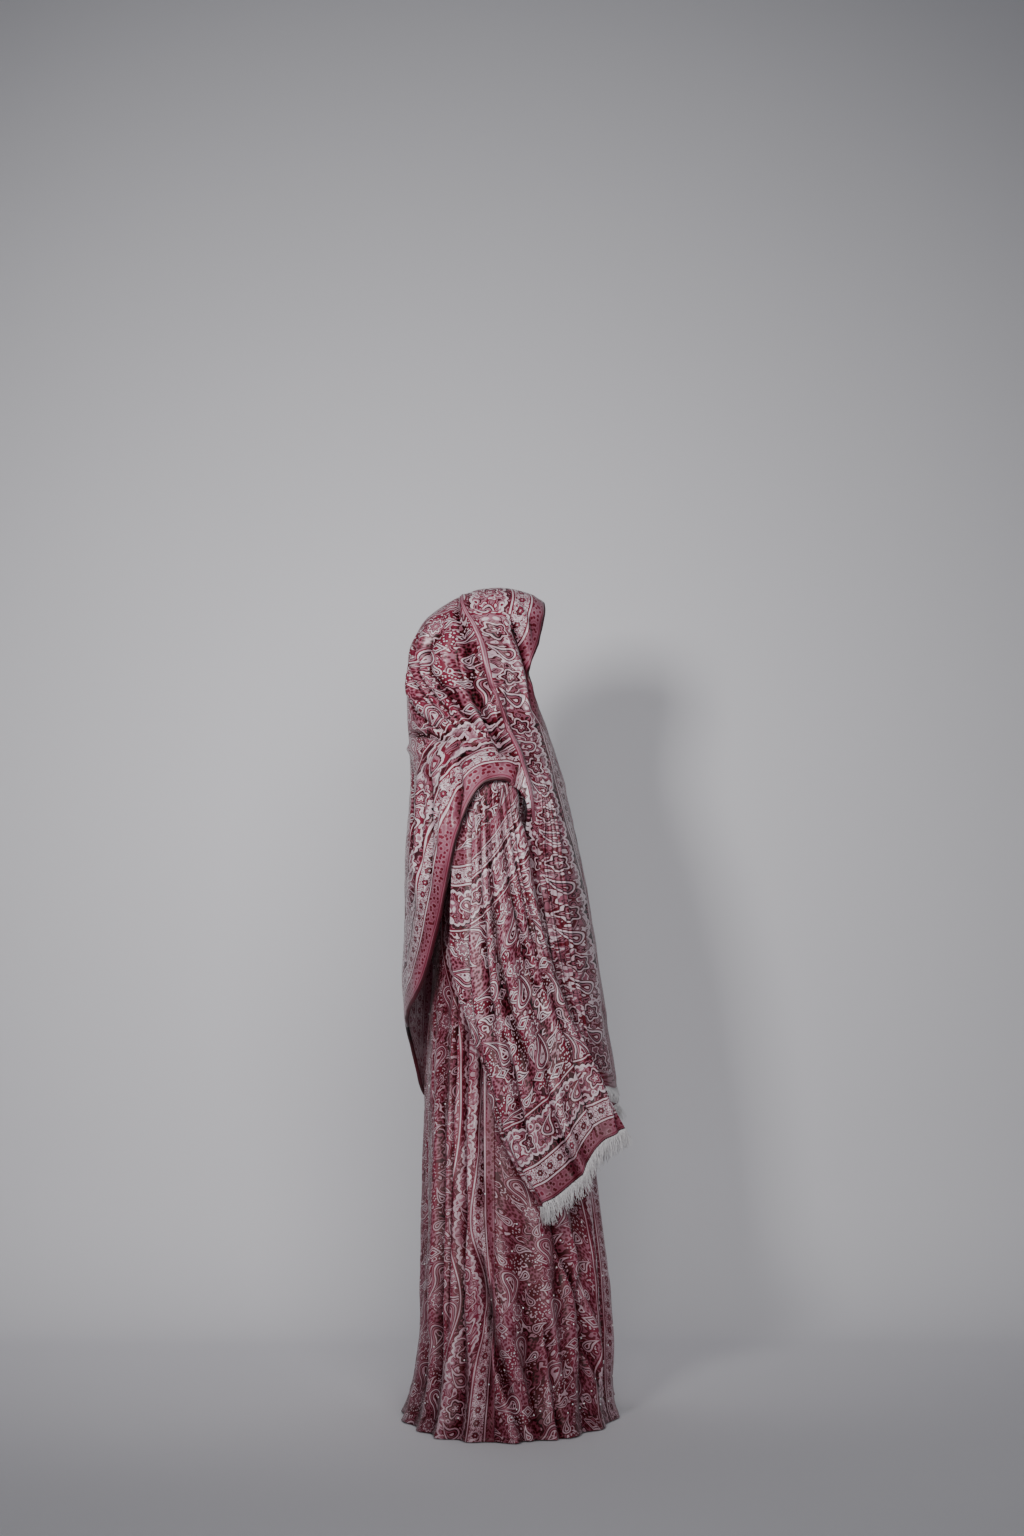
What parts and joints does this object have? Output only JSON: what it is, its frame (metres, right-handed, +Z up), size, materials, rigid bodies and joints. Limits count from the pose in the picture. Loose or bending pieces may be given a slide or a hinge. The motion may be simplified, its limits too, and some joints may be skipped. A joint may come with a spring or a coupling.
{
  "type": "abaya with matching head shawl",
  "caption": "Hollow worn abaya, floor-length and open in front, with wide fringed sleeves, under its own head shawl of the same paisley jacquard",
  "frame": {"origin": "middle of the shoulder line, 1.38 m above the floor, where the garment is held when it is worn", "axes": "+Z up; the front of the garment faces -Y; the garment's own right side is -X"},
  "size_m": [0.7376, 0.4795, 1.7136],
  "materials": {
    "rose_jacquard": "silky woven jacquard",
    "fringe_yarn": "soft cut yarn"
  },
  "bodies": {
    "root": {"robe_back": "rose_jacquard", "robe_front_right": "rose_jacquard", "robe_front_left": "rose_jacquard", "sleeve_right": "rose_jacquard", "sleeve_left": "rose_jacquard", "shawl_hood": "rose_jacquard", "shawl_back": "rose_jacquard", "shawl_fall_right": "rose_jacquard", "shawl_fall_left": "rose_jacquard", "cuff_fringe_right": "fringe_yarn", "cuff_fringe_left": "fringe_yarn", "shawl_fringe_right": "fringe_yarn", "shawl_fringe_left": "fringe_yarn"}
  },
  "joints": []
}
